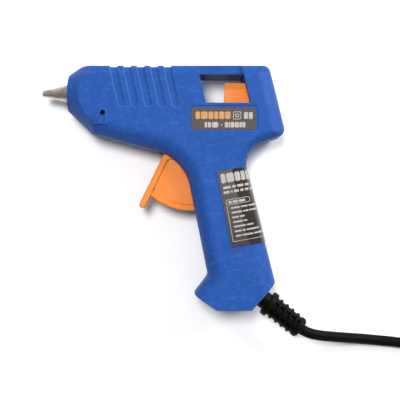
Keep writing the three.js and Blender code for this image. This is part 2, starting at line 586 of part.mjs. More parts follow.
for (const [name, spot] of Object.entries(SCREWS)) place(name, housingScrew(spot), STEEL);
place('side_label', box(SIDE_LABEL.x0, SIDE_LABEL.x1, SIDE_LABEL.y0, SIDE_LABEL.y1,
  HALF - LABEL_RECESS.depth + 0.05, HALF - LABEL_RECESS.depth + 0.05 + SIDE_LABEL.thick), LABEL_GREY);
place('handle_label', closedForm(0.35).subtract(closedForm(0.15)).intersect(labelBand), LABEL_BLACK);
place('lead_wire_upper', leadWire(1, 45.45), BLACK);
place('lead_wire_lower', leadWire(-1, 42.15), BLACK);
place('strain_relief', strainRelief(), BLACK);
place('power_cord', sweep(vectors(CORD_ROUTE), CORD_D / 2, 10, 30), BLACK);
place('power_cord_coil', coil(), BLACK);
place('power_cord_tail', sweep(vectors(TAIL_ROUTE), CORD_D / 2, 10, 8), BLACK);
place('coil_tie', coilTie(), BLACK);
place('plug_body', plugBody(), BLACK);
place('plug_pin_left', plugPin(-1), BRASS);
place('plug_pin_right', plugPin(1), BRASS);

export default gun;
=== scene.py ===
"""A small hot-melt glue gun lying on a pale table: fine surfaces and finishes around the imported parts.

Shapes are laid out in millimetres about the seam plane of the gun (z = 0): +X runs from the nozzle
to the rear, +Y is the top of the gun and +Z its left side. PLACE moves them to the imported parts.
"""
import math

import bmesh
import bpy
from mathutils import Matrix, Vector


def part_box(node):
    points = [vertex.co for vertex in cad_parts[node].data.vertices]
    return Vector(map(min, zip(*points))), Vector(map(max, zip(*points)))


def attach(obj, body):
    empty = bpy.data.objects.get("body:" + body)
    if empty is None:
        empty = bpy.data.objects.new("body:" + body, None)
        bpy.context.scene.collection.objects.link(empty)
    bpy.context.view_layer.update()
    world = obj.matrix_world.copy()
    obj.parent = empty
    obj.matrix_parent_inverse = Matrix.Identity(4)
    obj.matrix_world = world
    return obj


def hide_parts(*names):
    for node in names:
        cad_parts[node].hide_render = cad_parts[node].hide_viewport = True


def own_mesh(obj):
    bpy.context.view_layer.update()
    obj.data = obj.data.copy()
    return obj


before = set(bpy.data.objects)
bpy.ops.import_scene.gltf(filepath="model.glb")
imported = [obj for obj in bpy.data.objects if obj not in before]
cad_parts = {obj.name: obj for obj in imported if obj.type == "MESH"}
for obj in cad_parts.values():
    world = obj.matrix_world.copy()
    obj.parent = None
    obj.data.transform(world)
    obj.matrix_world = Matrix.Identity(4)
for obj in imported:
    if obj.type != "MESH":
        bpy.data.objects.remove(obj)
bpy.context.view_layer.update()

# ---------------------------------------------------------------- driving dimensions
HALF = 13.3  # half the thickness of the closed housing
WALL = 1.8  # thickness of the shells
SEAM = 0.05  # each shell stops this short of the seam plane
AXIS_Y = 53.1  # height of the barrel axis
TIP_X = -78.55  # nozzle tip
TOP_Y = 65.6
BUTT_Y = -53.65
CORD_D = 5.3
STICK_R = 3.8  # room for a 7 mm stick
FLOOR_Z = -HALF
ROUNDING_STEPS = 18  # rings in a quarter of the edge rounding
ARC_STEP = math.radians(5)  # largest turn between two points of a fillet
SHARP = math.radians(16)  # faces that meet at more than this keep a sharp edge
CHAMFER = 0.3  # broken edge round the handle's end and the nose

# Housing outline from its left side, clockwise: where two edges meet, the fillet there, and for the
# edge that follows how far its rounding reaches inwards and the height where the rounding starts.
OUTLINE = [
    ((-85, TOP_Y), 0.5, 5, 9.5),
    ((34.2, TOP_Y), 4, 8.5, 4.8),
    ((42.4, 32.2), 4.5, 5, 8),
    ((20.65, 24.8), 11.5, 8.5, 4.8),
    ((45.6, -75), 0.5, 8, 5),
    ((-25, -75), 0.5, 7.5, 5.8),
    ((3.93, -37.3), 4, 7.5, 5.8),
    ((-7.75, 20.4), 22, 8.5, 4.8),
    ((-85, 41.06), 0.5, 6, 5),
]
# Region past the end of the handle; its first three edges are the flat faces of that end.
BUTT = [(46.8, -29.45), (25.1, BUTT_Y), (8.07, BUTT_Y), (-40, -21), (-40, -90), (60, -90)]
RIM = {"x": -65.15, "y": 52.8, "tilt": 0.0383, "radius": 9.15}
NOSE = {"length": 32, "grow_y": 0.8265, "grow_z": 0.68, "drop": 0.139}
WINDOW = {"bottom": 47.1, "top": 61.2, "left": 2.9, "right": 24.6, "lean": 0.242}
BAR_HALF = 10.45  # half the width of the bar over the window
GROOVES = {
    "count": 5, "first": -37.8, "pitch": 6.53, "bottom": 46.85, "width": 3.2, "lean": 0.2147, "depth": 0.7,
}
RIBS_X = (-57.2, -27.5)  # the two ribs across the barrel
STAND = {"x": -47.1, "y": 42.3, "radius": 1.3}  # hole for a wire stand
SIDE_LABEL = {"box": (-4.2, 27.1, 34, 44.7), "corner": 0.4, "thick": 0.2}
LABEL_RECESS = {"box": (-5.3, 28.3, 33.4, 45.9), "corner": 2.2, "depth": 0.4}
PIVOT = Vector((-5, 24))  # the trigger's pin
PIVOT_PIN = 1.5
TRIGGER = {"half": 4.5, "web": 3.5, "arc": 29.4, "rib": 3.2, "lean": 14, "pin": 18.55}
CARRIAGE = {"x0": 12.3, "x1": 32.8, "half": 5.6, "shoulder": 1.1, "top": 5.15}
KEEL = {"half": 2.7, "bottom": 44}
LEG = {"half": 2.5, "y0": 39.2, "y1": 44.8, "x0": -3.9}
JAW = Vector((29.3, 45.8))  # the grip jaw's pin
OUTLET = Vector((30, -48.2))  # where the cord leaves the handle
OUTLET_ANGLE = math.radians(-38.5)
SCREWS = {
    "housing_screw_front": (-40, 36), "housing_screw_top": (-12, 61.9), "housing_screw_rear": (31, 38.5),
    "housing_screw_upper": (18.5, 16.5), "housing_screw_lower": (14, -30),
}
SPRING = {"x0": -17.6, "x1": -4.6, "y": 42, "radius": 1.9, "wire": 0.3, "turns": 5}
COIL = {"x": 151, "y": -37.1, "lift": 0.5, "pitch": 5.5, "outer": 37.2, "turns": 5.347}
PLUG = {"x": 173.2, "y": 18, "z": FLOOR_Z + 7, "length": 36, "half": 17.6, "thick": 6.95, "gap": 9.3}

MM = 0.001
pin_low, pin_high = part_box("trigger_pivot_pin")
PLACE = Matrix.Translation((pin_low + pin_high) / 2) @ Matrix.Scale(MM, 4) @ Matrix.Translation(
    (-PIVOT.x, -PIVOT.y, 0))


def spot(x, y, z=0.0):
    """A point of the gun's own frame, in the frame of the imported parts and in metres."""
    return PLACE @ Vector((x, y, z))


def put(name, data):
    """A new object in the scene, made of that data."""
    made = bpy.data.objects.new(name, data)
    bpy.context.scene.collection.objects.link(made)
    return made


# ---------------------------------------------------------------- camera and light
CAMERA_HEIGHT = 413.3  # above the table
SENSOR = 36
LENS = 72  # frames 200 mm at the seam plane


def camera():
    """A camera over the middle of the gun, looking straight down."""
    data = bpy.data.cameras.new("camera")
    data.lens = LENS
    data.sensor_width = SENSOR
    data.clip_start = 0.01
    data.clip_end = 20
    eye = put("camera", data)
    eye.location = spot(0, 0, FLOOR_Z + CAMERA_HEIGHT)
    bpy.context.scene.camera = eye


def softbox(name, at, towards, size, watts, mirrored_in_gloss=True):
    """A round lamp that faces a point."""
    data = bpy.data.lights.new(name, "AREA")
    data.shape = "DISK"
    data.size = size
    data.energy = watts
    lamp = put(name, data)
    lamp.location = at
    lamp.rotation_euler = (Vector(towards) - Vector(at)).to_track_quat("-Z", "Y").to_euler()
    lamp.visible_glossy = mirrored_in_gloss


def lighting():
    """Three round lamps, and a sky that is brighter on the side of the right-hand lamp."""
    middle = spot(0, 0, FLOOR_Z)
    softbox("key", middle + Vector((-0.14, 0.22, 0.95)), middle, 0.3, 8, mirrored_in_gloss=False)
    softbox("overhead", middle + Vector((0.03, 0.13, 0.95)), middle, 0.4, 1.05)
    softbox("side", middle + Vector((0.8, 0.62, 0.6)), middle, 0.5, 12)
    world = bpy.data.worlds.new("studio")
    world.use_nodes = True
    tree = world.node_tree
    direction = add_node(tree, "TexCoord").outputs["Generated"]
    towards_side = add_node(tree, "VectorMath", {0: direction, 1: (0.6, 0.65, 0.45)}, operation="DOT_PRODUCT")
    glow = remap(tree, towards_side.outputs["Value"], -0.6, 0.8, 0.03, 0.5)
    tree.links.new(glow, tree.nodes["Background"].inputs["Strength"])
    tree.nodes["Background"].inputs["Color"].default_value = (0.95, 0.97, 1, 1)
    bpy.context.scene.world = world
    bpy.context.scene.view_settings.view_transform = "Standard"


# ---------------------------------------------------------------- mesh tools
def mesh_object(points, faces):
    """A mesh in the scene, with its faces turned outwards."""
    mesh = bpy.data.meshes.new("shape")
    mesh.from_pydata([tuple(p) for p in points], [], faces)
    work = bmesh.new()
    work.from_mesh(mesh)
    bmesh.ops.recalc_face_normals(work, faces=work.faces)
    work.to_mesh(mesh)
    work.free()
    return put("shape", mesh)


def combine(operation, body, *others):
    """Joins, cuts or intersects body with the others, which are used up."""
    for other in others:
        step = body.modifiers.new("combine", "BOOLEAN")
        step.operation = operation
        step.solver = "MANIFOLD"
        step.object = other
    bpy.context.view_layer.update()
    found = body.evaluated_get(bpy.context.evaluated_depsgraph_get())
    mesh = bpy.data.meshes.new_from_object(found)
    body.modifiers.clear()
    body.data = mesh
    for other in others:
        bpy.data.objects.remove(other)
    return body


def add(body, *others):
    return combine("UNION", body, *others)


def cut(body, *others):
    return combine("DIFFERENCE", body, *others)


def keep(body, *others):
    return combine("INTERSECT", body, *others)


def copy_of(shape):
    return put("shape", shape.data.copy())


def moved(shape, matrix):
    shape.data.transform(matrix)
    if matrix.determinant() < 0:
        shape.data.flip_normals()
    return shape


def mirrored(shape):
    """The shape and its mirror image on the other side of the seam plane, in one."""
    other = moved(copy_of(shape), Matrix.Scale(-1, 4, (0, 0, 1)))
    return add(shape, other)


def stack(rings, closed=False):
    """A skin over rings of points, with a cap at each end or, if closed, back to the first ring."""
    count = len(rings[0])
    faces = []
    levels = len(rings) if closed else len(rings) - 1
    for level in range(levels):
        low, high = level * count, (level + 1) % len(rings) * count
        for i in range(count):
            j = (i + 1) % count
            faces.append((low + i, low + j, high + j, high + i))
    if not closed:
        last = (len(rings) - 1) * count
        faces.append(tuple(range(count)))
        faces.append(tuple(range(last, last + count)))
    return mesh_object([p for ring in rings for p in ring], faces)


def box(x0, x1, y0, y1, z0, z1):
    ring = [(x0, y0), (x1, y0), (x1, y1), (x0, y1)]
    return stack([[(x, y, z) for x, y in ring] for z in (z0, z1)])


def circle(x, y, radius, sides):
    angles = [2 * math.pi * i / sides for i in range(sides)]
    return [(x + radius * math.cos(a), y + radius * math.sin(a)) for a in angles]


def rod(x, y, radius, z0, z1, sides=40):
    return prism(circle(x, y, radius, sides), z0, z1)


def prism(points, z0, z1):
    return stack([[(p[0], p[1], z) for p in points] for z in (z0, z1)])


def inset(points, distance):
    """A closed outline moved inwards, whichever way round it runs."""
    area = sum(a[0] * b[1] - a[1] * b[0] for a, b in zip(points, points[1:] + points[:1]))
    outwards = -distance if area < 0 else distance
    return [corner for corner, _, _ in move_edges(points, [outwards] * len(points))]


def soft_prism(points, z0, z1, edge, steps=5):
    """A prism whose edges at both ends are rounded with radius edge."""
    rings = []
    for step in range(steps + 1):
        angle = math.pi / 2 * step / steps
        ring = inset(points, edge * (1 - math.sin(angle)))
        rings.append([(p[0], p[1], z0 + edge * (1 - math.cos(angle))) for p in ring])
    upper = [[(x, y, z0 + z1 - z) for x, y, z in ring] for ring in reversed(rings)]
    return stack(rings + upper)


def turned(profile, sides=64, bored=True):
    """A turned body along X: profile rows are (x, radius), and a bored one closes on itself."""
    rings = []
    for x, radius in profile:
        rings.append([(x, y, z) for y, z in circle(0, 0, radius, sides)])
    return stack(rings, closed=bored)


def along_outlet(shape):
    """Moves a body made along +X from the origin to the cord outlet of the handle."""
    turn = Matrix.Rotation(OUTLET_ANGLE, 4, "Z")
    return moved(shape, Matrix.Translation((OUTLET.x, OUTLET.y, 0)) @ turn)


def barrel_bore(x0, x1, radius):
    """A cylinder on the axis of the barrel."""
    return moved(turned([(x0, radius), (x1, radius)], bored=False), Matrix.Translation((0, AXIS_Y, 0)))


def pill(a, b, width):
    """Outline of a bar with round ends."""
    steps = 12
    a, b = Vector(a), Vector(b)
    heading = math.atan2(b.y - a.y, b.x - a.x)
    points = []
    for centre, start in ((b, heading - math.pi / 2), (a, heading + math.pi / 2)):
        for step in range(steps + 1):
            angle = start + math.pi * step / steps
            points.append(centre + Vector((math.cos(angle), math.sin(angle))) * width / 2)
    return points


def rounded_box_outline(x0, x1, y0, y1, radius, steps=6):
    points = []
    corners = [(x1, y1, 0), (x0, y1, 1), (x0, y0, 2), (x1, y0, 3)]
    for x, y, quarter in corners:
        inward = Vector((-1 if x == x1 else 1, -1 if y == y1 else 1)) * radius
        for step in range(steps + 1):
            angle = math.pi / 2 * (quarter + step / steps)
            across, up = radius * math.cos(angle), radius * math.sin(angle)
            points.append((x + inward.x + across, y + inward.y + up))
    return points


def rounded_corners(corners, radius):
    """An outline with each corner turned into a short arc."""
    steps = 4
    points = []
    count = len(corners)
    for i in range(count):
        before, here, after = Vector(corners[i - 1]), Vector(corners[i]), Vector(corners[(i + 1) % count])
        to_before, to_after = (before - here).normalized(), (after - here).normalized()
        reach = min(radius, 0.4 * (before - here).length, 0.4 * (after - here).length)
        start, end = here + to_before * reach, here + to_after * reach
        for step in range(steps + 1):
            t = step / steps
            points.append(start * (1 - t) ** 2 + here * 2 * t * (1 - t) + end * t ** 2)
    return points


def round_wire(name, points, radius, resolution):
    """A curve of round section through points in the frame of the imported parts."""
    curve = bpy.data.curves.new(name, "CURVE")
    curve.dimensions = "3D"
    curve.bevel_depth = radius * MM
    curve.bevel_resolution = resolution
    curve.use_fill_caps = True
    spline = curve.splines.new("POLY")
    spline.points.add(len(points) - 1)
    spline.use_smooth = True
    for place, point in zip(spline.points, points):
        place.co = (*point, 1)
    return put(name, curve)


# ---------------------------------------------------------------- housing form
def move_edges(corners, distances):
    """A clockwise outline with each edge moved outwards by its own distance, as rows of the new
    corner and the directions of the edges before and after it."""
    count = len(corners)
    edges = []
    for i in range(count):
        here, there = Vector(corners[i][:2]), Vector(corners[(i + 1) % count][:2])
        heading = (there - here).normalized()
        edges.append((here + Vector((-heading.y, heading.x)) * distances[i], heading))
    rows = []
    for i in range(count):
        (p, before), (q, after) = edges[i - 1], edges[i]
        turn = before.cross(after)
        reach = (q - p).cross(after) / turn if abs(turn) > 1e-6 else (q - p).dot(before)
        rows.append((p + before * reach, before, after))
    return rows


def form_ring(offset, angle):
    """One ring of the rounded form: angle runs from 0 at the side wall to a right angle on the flat."""
    insets = [max(reach + offset, 0.05) * (1 - math.cos(angle)) - offset for _, _, reach, _ in OUTLINE]
    heights = [start + (HALF + offset - start) * math.sin(angle) for _, _, _, start in OUTLINE]
    corners = [corner for corner, _, _, _ in OUTLINE]
    points = []
    for i, (corner, before, after) in enumerate(move_edges(corners, [-reach for reach in insets])):
        turn = math.atan2(before.cross(after), before.dot(after))
        side = math.copysign(1, turn)
        radius = max(OUTLINE[i][1] + side * (insets[i] + insets[i - 1]) / 2, 0.2)
        start = corner - before * radius * math.tan(abs(turn) / 2)
        centre = start + Vector((-before.y, before.x)) * side * radius
        steps = max(3, round(abs(turn) / ARC_STEP))
        for step in range(steps + 1):
            share = step / steps
            point = centre + Matrix.Rotation(turn * share, 2) @ (start - centre)
            height = heights[i - 1] * (1 - share) + heights[i] * share
            points.append((point.x, point.y, height))
    return points


def rounded_form(offset):
    upper = [form_ring(offset, math.pi / 2 * step / ROUNDING_STEPS) for step in range(ROUNDING_STEPS + 1)]
    lower = [[(x, y, -z) for x, y, z in ring] for ring in reversed(upper)]
    return stack(lower + upper)


def nose_cone(offset):
    """The cone of the nose, round at the rim and growing faster in height than in width."""
    painted_rim_shade = RIM["radius"] + offset * 1.27  # 1.27: wall measured square to a cone of 38 degrees
    rings = []
    for far in (-6, NOSE["length"]):
        ring = []
        for y, z in circle(0, 0, 1, 144):
            height = RIM["y"] - NOSE["drop"] * far + y * (painted_rim_shade + NOSE["grow_y"] * far)
            ring.append((RIM["x"] + far, height, z * (painted_rim_shade + NOSE["grow_z"] * far)))
        rings.append(ring)
    return stack(rings)


def closed_form(offset, trim=0.0):
    """The outer form moved outwards by offset; trim moves only the nose's front and the handle's end."""
    rim_x = RIM["x"] - (offset - 0.7 if offset < 0 else 0) - trim  # 0.7: the nose's front wall is thicker
    front = prism([
        (rim_x + 25 * RIM["tilt"], RIM["y"] + 25), (rim_x - 30 * RIM["tilt"], RIM["y"] - 30),
        (-99, RIM["y"] - 30), (-99, RIM["y"] + 25),
    ], -30, 30)
    ahead = cut(box(-99, RIM["x"] + NOSE["length"], -5, 99, -30, 30), nose_cone(offset))
    butt = prism([corner for corner, _, _ in move_edges(BUTT, [offset + trim] * len(BUTT))], -30, 30)
    return cut(rounded_form(offset), butt, front, ahead)


def chamfer_ends(shape):
    """Raises the flat faces of the handle's end and of the nose's front, with a broken edge round them."""
    planes = []
    for i in range(3):
        here, there = Vector(BUTT[i]), Vector(BUTT[i + 1])
        heading = (there - here).normalized()
        planes.append((Vector((heading.y, -heading.x, 0)), here))
    front = Vector((-1, RIM["tilt"], 0)).normalized()
    planes.append((front, Vector((RIM["x"], RIM["y"]))))
    work = bmesh.new()
    work.from_mesh(shape.data)
    groups = {"butt": [], "front": []}
    for face in work.faces:
        for normal, at in planes:
            level = (face.calc_center_median().xy - at).dot(normal.xy)
            if abs(face.normal.dot(normal)) > 0.9999 and abs(abs(level) - CHAMFER) < 0.02:
                groups["front" if normal is front else "butt"].append(face)
    for faces in groups.values():
        bmesh.ops.inset_region(
            work, faces=faces, thickness=CHAMFER, depth=CHAMFER, use_even_offset=True, use_boundary=True)
    work.to_mesh(shape.data)
    work.free()
    return shape


def leaning(bottom, top, margin):
    """A slanted four-sided region between two heights, widened by margin on both sides."""
    left, right = WINDOW["left"] - margin, WINDOW["right"] + margin
    corners = [(left, bottom), (left, top), (right, top), (right, bottom)]
    return [(x - WINDOW["lean"] * (y - WINDOW["bottom"]), y) for x, y in corners]


def groove_outline(index, spread):
    """One groove seen from the side, round at its foot; spread makes it wider towards the front."""
    x = GROOVES["first"] + index * GROOVES["pitch"] - spread / 2
    half = (GROOVES["width"] + spread) / 2
    tilt = math.asin(GROOVES["lean"])
    points = []
    steps = 16
    for step in range(steps + 1):
        angle = tilt - math.pi * step / steps
        points.append((x + half * math.cos(angle), GROOVES["bottom"] + half * math.sin(angle)))
    rise = Vector((-math.sin(tilt), math.cos(tilt))) * 24
    points.append((points[-1][0] + rise.x, points[-1][1] + rise.y))
    points.append((points[0][0] + rise.x, points[0][1] + rise.y))
    return points


def grooves():
    """Cooling grooves with a steep rear wall, cut in thin levels so that their front wall slopes."""
    levels = [(0.66, 0.06), (0.54, 0.16), (0.46, 0.3), (0.38, 0.44), (0.32, 0.58), (0.26, GROOVES["depth"])]
    channels = []
    for spread, depth in levels:
        level = add(*[prism(groove_outline(index, spread), -30, 30) for index in range(GROOVES["count"])])
        channels.append(cut(level, closed_form(-depth)))
    return add(*channels)


def stand_seat(top):
    """Tab round the hole for the wire stand, with two detent grooves running down from the hole."""
    x, y, low = STAND["x"], STAND["y"], 36.8
    outline = rounded_corners([
        (x - 4.8, low), (x - 1.9, y + 1.6), (x - 0.6, y + 2.3),
        (x + 0.8, y + 2.3), (x + 2.2, y + 1.3), (x + 2.2, low),
    ], 0.7)
    seat = soft_prism(outline, 7, top, 0.25)
    for start, end in (((x - 0.9, y - 1.2), (x - 3.1, 37.8)), ((x + 0.6, y - 1.2), (x + 0.6, 37.8))):
        groove = prism(pill(start, end, 1.1), top - 1, top + 1)
        seat = cut(seat, groove)
    return seat


def stand_seats():
    """The tab stands proud of the left side only: the gun lies on its right side."""
    left = stand_seat(HALF + 0.55)
    right = moved(stand_seat(HALF), Matrix.Scale(-1, 4, (0, 0, 1)))
    posts = mirrored(rod(STAND["x"], STAND["y"], 2.4, 5.8, 12))
    return [left, right, posts]


def cord_clamp_post(side):
    """Middle of the post for one of the cord clamp's two screws."""
    heading = Vector((math.cos(OUTLET_ANGLE), math.sin(OUTLET_ANGLE)))
    return OUTLET - heading * 10.5 + Vector((-heading.y, heading.x)) * 5.4 * side


def screw_boss(x, y):
    return add(rod(x, y, 2.5, -12, 12, 24), rod(x, y, 4.1, -12.4, -9.2, 32))


def housing():
    """Both shells in one, with the seam line's groove, the cavity, ribs, bosses and openings."""
    outer = chamfer_ends(closed_form(0, -CHAMFER))
    outer = cut(outer, grooves())
    seam = cut(box(-99, 99, -99, 99, -0.2, 0.2), closed_form(-0.25))
    cavity = cut(closed_form(-WALL), prism(leaning(WINDOW["bottom"] - WALL, 70, 1.6), -30, 30))
    shell = cut(outer, seam, cavity)
    ribs = add(*[box(x - 0.8, x + 0.8, 43, 66, -HALF, HALF) for x in RIBS_X])
    ribs = keep(ribs, closed_form(-WALL + 0.2))
    for x in RIBS_X:
        ribs = cut(ribs, barrel_bore(x - 2, x + 2, 6.95), box(x - 2, x + 2, 40, 47.5, -5, 5))
    bosses = keep(add(*[screw_boss(x, y) for x, y in SCREWS.values()]), closed_form(-WALL / 2))
    pivot_boss = mirrored(rod(PIVOT.x, PIVOT.y, 3.4, 5.1, 12))
    shell = add(shell, ribs, bosses, pivot_boss, *stand_seats())
    recess = leaning(WINDOW["top"] - 1, 70, 0)
    label = LABEL_RECESS
    pocket = rounded_box_outline(*label["box"], label["corner"])
    trigger_slot = keep(
        rod(PIVOT.x, PIVOT.y, TRIGGER["arc"] + 0.9, -4.95, 4.95, 120), box(-20.6, 4, -10, 26, -6, 6))
    tools = [
        prism(leaning(WINDOW["bottom"], WINDOW["top"], 0), -30, 30),
        mirrored(prism(recess, BAR_HALF, 30)),
        stack([
            [(p[0], p[1], HALF - label["depth"]) for p in inset(pocket, 0.15)],
            [(p[0], p[1], HALF) for p in pocket],
            [(p[0], p[1], HALF + 1) for p in inset(pocket, -0.3)],
        ]),
        trigger_slot,
        box(20, 34, AXIS_Y - 6.05, AXIS_Y + 6.05, -6.05, 6.05),
        box(1.5, 30, 43, WINDOW["bottom"] + 0.5, -3.1, 3.1),
        along_outlet(turned([(-6, 4.75), (4, 4.75)], bored=False)),
        mirrored(rod(STAND["x"], STAND["y"], STAND["radius"], 6.8, 30)),
        rod(PIVOT.x, PIVOT.y, PIVOT_PIN + 0.35, -9.4, 9.4),
    ]
    # Through the wall ahead of the window, the rear wall and the nose's front wall.
    tools += [barrel_bore(-8, 4, 4.25), barrel_bore(32, 45, 4.3), barrel_bore(-70, -60, 4.65)]
    for x, y in SCREWS.values():
        tools.append(add(rod(x, y, 1.6, -12, 8, 24), rod(x, y, 2.9, -15, -HALF + 2.6, 32)))
    return cut(shell, *tools)


# ---------------------------------------------------------------- finishes
def add_node(tree, kind, inputs=(), **settings):
    """A shader node with its settings, and with its inputs set or linked."""
    made = tree.nodes.new("ShaderNode" + kind)
    for name, value in settings.items():
        setattr(made, name, value)
    for name, value in dict(inputs).items():
        if isinstance(value, bpy.types.NodeSocket):
            tree.links.new(value, made.inputs[name])
        else:
            made.inputs[name].default_value = value
    return made


def new_material(name):
    material = bpy.data.materials.new(name)
    material.use_nodes = True
    tree = material.node_tree
    shader = tree.nodes["Principled BSDF"]
    place = tree.nodes.new("ShaderNodeTexCoord").outputs["Object"]
    return material, tree, shader, place


def noise(tree, place, size_mm, detail=2, stretch=(1, 1, 1)):
    """Noise with features of about that size, longer along an axis whose stretch is over 1."""
    scale = add_node(tree, "Mapping", {"Vector": place, "Scale": [1 / s for s in stretch]})
    options = {"Vector": scale.outputs[0], "Scale": 1 / (size_mm * MM), "Detail": detail}
    return add_node(tree, "TexNoise", options).outputs["Fac"]


def remap(tree, value, low, high, to_low=0.0, to_high=1.0):
    options = {"Value": value, "From Min": low, "From Max": high, "To Min": to_low, "To Max": to_high}
    return add_node(tree, "MapRange", options).outputs[0]


def mix(tree, share, a, b):
    made = add_node(tree, "Mix", data_type="RGBA")
    for socket, value in zip((made.inputs[0], made.inputs[6], made.inputs[7]), (share, a, b)):
        if isinstance(value, bpy.types.NodeSocket):
            tree.links.new(value, socket)
        else:
            socket.default_value = value if isinstance(value, float) else (*value[:3], 1)
    return made.outputs[2]


def scaled(colour, factor):
    return tuple(min(1.0, c * factor) for c in colour)


def edge_normal(tree, radius_mm):
    return add_node(tree, "Bevel", {"Radius": radius_mm * MM}, samples=4).outputs[0]


def edge_mask(tree, normal):
    """1 along edges, where the rounded normal leaves the face's own, and 0 on faces."""
    true_normal = add_node(tree, "NewGeometry").outputs["Normal"]
    dot = add_node(tree, "VectorMath", {0: normal, 1: true_normal}, operation="DOT_PRODUCT")
    return remap(tree, dot.outputs["Value"], 0.995, 0.9)


def finish_with(tree, shader, colour, roughness, bump):
    """Links what every finish has: its colour, its roughness and its relief."""
    tree.links.new(colour, shader.inputs["Base Color"])
    tree.links.new(roughness, shader.inputs["Roughness"])
    tree.links.new(bump.outputs[0], shader.inputs["Normal"])


def moulded(
        name, colour, worn_and_sheen_colour, roughness, depth=0.012, edge=0.3, scuff_and_sheen_amount=0.3, gloss=0.5, edge_colour=None):
    """Moulded plastic: fine eroded grain, cloudy colour, lighter spots and streaks that are partly scuffing
    and partly painted sheen, and softly rounded edges painted towards an edge colour.
    """
    material, tree, shader, place = new_material(name)
    cloud = noise(tree, place, 14, 3)
    mottle = noise(tree, place, 1.6, 4)
    scuff_and_sheen_streaks = remap(tree, noise(tree, place, 3.2, 5, (3, 1, 1)), 0.56, 0.75)
    grain = noise(tree, place, 0.35, 2)
    body = mix(tree, remap(tree, cloud, 0.3, 0.7), scaled(colour, 0.95), scaled(colour, 1.05))
    # Lighter spots and streaks towards the second colour: partly scuffing, partly painted sheen.
    body = mix(tree, remap(tree, mottle, 0.52, 0.78, 0, scuff_and_sheen_amount * 0.45), body, worn_and_sheen_colour)
    body = mix(tree, remap(tree, scuff_and_sheen_streaks, 0, 1, 0, scuff_and_sheen_amount * 0.3), body, worn_and_sheen_colour)
    normal = edge_normal(tree, edge)
    # Edges painted towards the edge colour, else the lighter second colour: partly edge wear, partly a
    # painted edge highlight; a deeper edge colour is painted shade.
    body = mix(tree, remap(tree, edge_mask(tree, normal), 0, 1, 0, 0.6), body, edge_colour or worn_and_sheen_colour)
    shine = remap(tree, mottle, 0.3, 0.7, roughness - 0.06, roughness + 0.07)
    bump = add_node(tree, "Bump", {
        "Height": grain, "Distance": depth * MM, "Strength": 0.6, "Normal": normal})
    finish_with(tree, shader, body, shine, bump)
    shader.inputs["Specular IOR Level"].default_value = gloss
    return material


def machined(name, colour, dark, roughness, stretch):
    """Metal with turning or drawing marks that run across the stretched directions."""
    material, tree, shader, place = new_material(name)
    marks = noise(tree, place, 0.22, 3, stretch)
    stain = noise(tree, place, 2.4, 4)
    body = mix(tree, remap(tree, stain, 0.42, 0.72), colour, dark)
    body = mix(tree, remap(tree, marks, 0.35, 0.65, 0, 0.3), body, scaled(colour, 0.6))
    shine = remap(tree, marks, 0.3, 0.7, roughness - 0.08, roughness + 0.12)
    bump = add_node(tree, "Bump", {
        "Height": marks, "Distance": 0.008 * MM, "Strength": 0.5, "Normal": edge_normal(tree, 0.12)})
    finish_with(tree, shader, body, shine, bump)
    shader.inputs["Metallic"].default_value = 1.0
    return material


def film(name, colour, cloud_colour, roughness, crease, coat):
    """Glossy printed film, slightly uneven where it was pressed on."""
    material, tree, shader, place = new_material(name)
    waves = noise(tree, place, 4, 2)
    wear = noise(tree, place, 0.9, 5)
    body = mix(tree, remap(tree, wear, 0.45, 0.8), colour, cloud_colour)
    shine = remap(tree, wear, 0.35, 0.75, roughness, roughness + 0.12)
    bump = add_node(tree, "Bump", {"Height": waves, "Distance": crease * MM, "Strength": 1.0})
    finish_with(tree, shader, body, shine, bump)
    shader.inputs["Coat Weight"].default_value = coat
    shader.inputs["Coat Roughness"].default_value = 0.06
    return material


def orange_plastic(name, colour):
    """Moulded orange plastic that lets a little light through, with its edges painted a deeper orange:
    painted shade standing in for the sheen its faces catch and its edges don't.
    """
    # Deeper orange for the edges: painted shade. The lighter second colour gives spots that are partly
    # scuffing, partly painted sheen.
    painted_rim_shade = (colour[0] * 0.9, colour[1] * 0.4, colour[2] * 0.4)
    material = moulded(
        name, colour, scaled(colour, 1.1), 0.34, depth=0.006, edge=0.4, scuff_and_sheen_amount=0.15, edge_colour=painted_rim_shade)
    shader = material.node_tree.nodes["Principled BSDF"]
    shader.inputs["Subsurface Weight"].default_value = 0.2
    shader.inputs["Subsurface Radius"].default_value = (1, 0.4, 0.1)
    shader.inputs["Subsurface Scale"].default_value = 1.2 * MM
    return material


